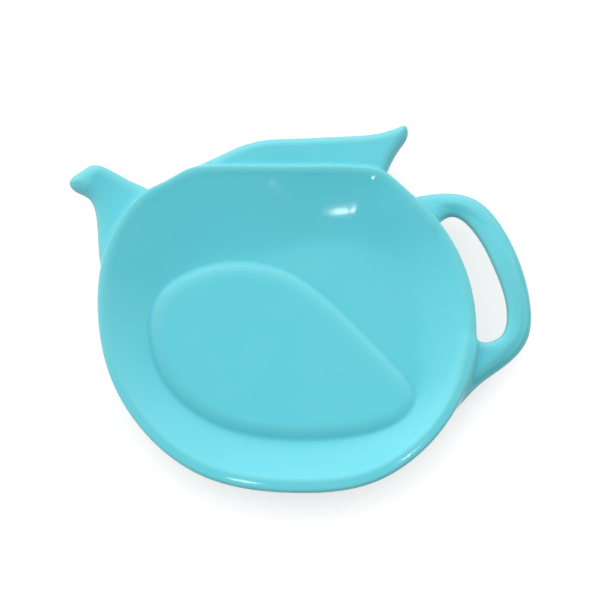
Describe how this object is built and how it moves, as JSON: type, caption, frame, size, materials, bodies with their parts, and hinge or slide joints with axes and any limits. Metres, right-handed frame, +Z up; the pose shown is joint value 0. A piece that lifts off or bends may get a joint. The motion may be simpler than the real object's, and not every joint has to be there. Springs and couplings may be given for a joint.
{
  "type": "tea bag rest",
  "caption": "Teapot-shaped shallow ceramic dish with a spout, lid tab, loop handle and a raised egg-shaped pad, for resting a wet tea bag.",
  "frame": {"origin": "middle of the bounding box in plan, on the table under the foot ring", "axes": "+X from the spout to the handle, +Y from the bottom of the dish to the lid, +Z up"},
  "size_m": [0.1216, 0.0992, 0.012],
  "materials": {
    "turquoise_glaze": "glossy fired glaze",
    "bare_clay": "matt wiped clay"
  },
  "bodies": {
    "root": {"dish": "turquoise_glaze", "tea_bag_pad": "turquoise_glaze", "spout": "turquoise_glaze", "lid": "turquoise_glaze", "handle": "turquoise_glaze", "foot_ring": "bare_clay"}
  },
  "joints": []
}
